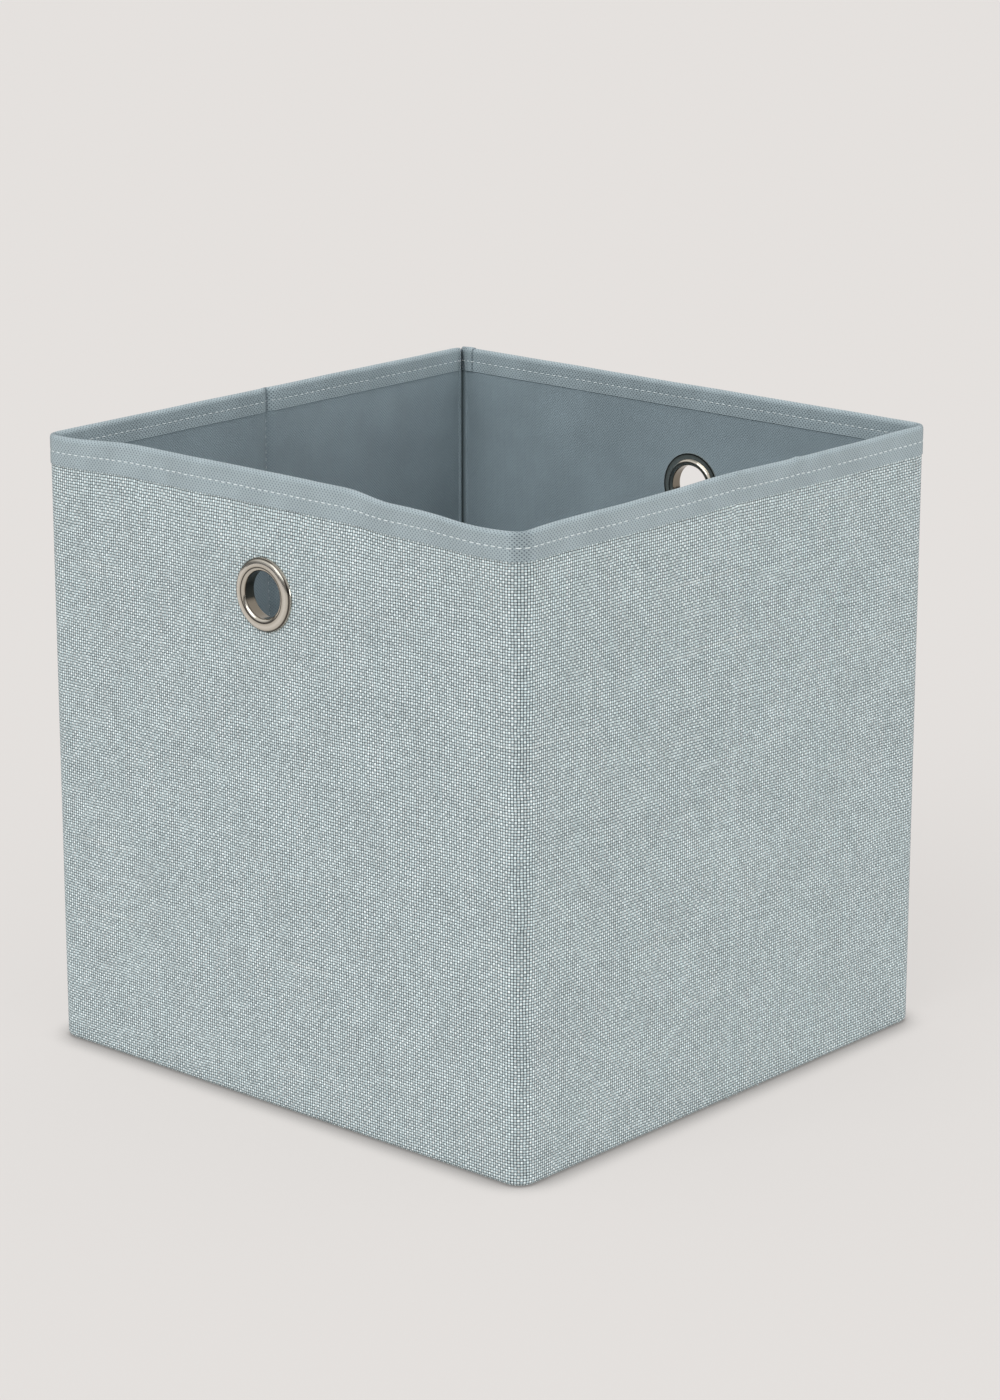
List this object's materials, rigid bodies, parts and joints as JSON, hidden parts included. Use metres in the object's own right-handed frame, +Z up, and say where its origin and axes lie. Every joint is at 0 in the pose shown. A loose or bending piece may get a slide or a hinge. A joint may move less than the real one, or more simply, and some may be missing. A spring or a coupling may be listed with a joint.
{
  "type": "fabric storage bin",
  "caption": "Open-topped foldable fabric storage cube with card-stiffened cloth walls, a bound rim, metal eyelet finger pulls and a loose base board.",
  "frame": {"origin": "middle of the bottom, on the surface that the bin stands on", "axes": "+Z up; -Y out of the front wall and +Y out of the rear wall, which hold the eyelets; +X and -X out of the folding side walls"},
  "size_m": [0.2808, 0.2794, 0.28],
  "materials": {
    "woven_cloth": "plain-woven linen-look cloth, pale threads with slate gaps",
    "lining": "slate-grey non-woven cloth with a fine emboss",
    "binding": "grey-blue non-woven tape with a dotted emboss and white running stitch",
    "card": "plain grey-brown card, hidden inside the walls and the base",
    "nickel": "polished warm nickel plate"
  },
  "bodies": {
    "rear_wall": {"skin_rear": "woven_cloth", "lining_rear": "lining", "binding_rear": "binding", "board_rear": "card", "skin_rear_right": "woven_cloth", "lining_rear_right": "lining", "binding_rear_right": "binding", "skin_rear_left": "woven_cloth", "lining_rear_left": "lining", "binding_rear_left": "binding", "eyelet_rear": "nickel", "washer_rear": "nickel", "bottom_cloth": "woven_cloth", "bottom_hem": "woven_cloth"},
    "right_rear": {"skin_right_rear": "woven_cloth", "lining_right_rear": "lining", "binding_right_rear": "binding", "board_right_rear": "card", "skin_right_fold": "woven_cloth", "lining_right_fold": "lining", "binding_right_fold": "binding"},
    "right_front": {"skin_right_front": "woven_cloth", "lining_right_front": "lining", "binding_right_front": "binding", "board_right_front": "card", "skin_front_right": "woven_cloth", "lining_front_right": "lining", "binding_front_right": "binding"},
    "front_wall": {"skin_front": "woven_cloth", "lining_front": "lining", "binding_front": "binding", "board_front": "card", "skin_front_left_front": "woven_cloth", "lining_front_left_front": "lining", "binding_front_left_front": "binding", "eyelet_front": "nickel", "washer_front": "nickel"},
    "left_rear": {"skin_left_rear": "woven_cloth", "lining_left_rear": "lining", "binding_left_rear": "binding", "board_left_rear": "card", "skin_left_fold": "woven_cloth", "lining_left_fold": "lining", "binding_left_fold": "binding"},
    "left_front": {"skin_left_front": "woven_cloth", "lining_left_front": "lining", "binding_left_front": "binding", "board_left_front": "card", "skin_front_left_side": "woven_cloth", "lining_front_left_side": "lining", "binding_front_left_side": "binding"},
    "base_insert": {"base_card": "card", "base_cover_top": "lining", "base_cover_bottom": "lining"}
  },
  "joints": [
    {"name": "rear_right_corner", "type": "hinge", "parent": "rear_wall", "child": "right_rear", "pos_m": [0.1355, 0.133, 0.15], "axis": [0, 0, -1], "range_deg": [0, 88], "deforming": ["skin_rear_right", "lining_rear_right", "binding_rear_right", "bottom_cloth", "bottom_hem"]},
    {"name": "right_middle_fold", "type": "hinge", "parent": "right_rear", "child": "right_front", "pos_m": [0.1406, 0, 0.15], "axis": [0, 0, 1], "range_deg": [0, 176], "deforming": ["skin_right_fold", "lining_right_fold", "binding_right_fold"]},
    {"name": "front_right_corner", "type": "hinge", "parent": "right_front", "child": "front_wall", "pos_m": [0.1355, -0.133, 0.15], "axis": [0, 0, -1], "range_deg": [0, 88], "deforming": ["skin_front_right", "lining_front_right", "binding_front_right", "skin_front_left_front", "lining_front_left_front", "binding_front_left_front"]},
    {"name": "rear_left_corner", "type": "hinge", "parent": "rear_wall", "child": "left_rear", "pos_m": [-0.1355, 0.133, 0.15], "axis": [0, 0, 1], "range_deg": [0, 88], "deforming": ["skin_rear_left", "lining_rear_left", "binding_rear_left"]},
    {"name": "left_middle_fold", "type": "hinge", "parent": "left_rear", "child": "left_front", "pos_m": [-0.1406, 0, 0.15], "axis": [0, 0, -1], "range_deg": [0, 176], "deforming": ["skin_left_fold", "lining_left_fold", "binding_left_fold", "skin_front_left_side", "lining_front_left_side", "binding_front_left_side"]},
    {"name": "base_lift", "type": "slide", "parent": "rear_wall", "child": "base_insert", "axis": [0, 0, 1], "range_m": [0, 0.32]}
  ],
  "couplings": [
    {"joint": "right_middle_fold", "follows": "rear_right_corner", "ratio": 2},
    {"joint": "front_right_corner", "follows": "rear_right_corner", "ratio": 1},
    {"joint": "rear_left_corner", "follows": "rear_right_corner", "ratio": 1},
    {"joint": "left_middle_fold", "follows": "rear_right_corner", "ratio": 2}
  ]
}
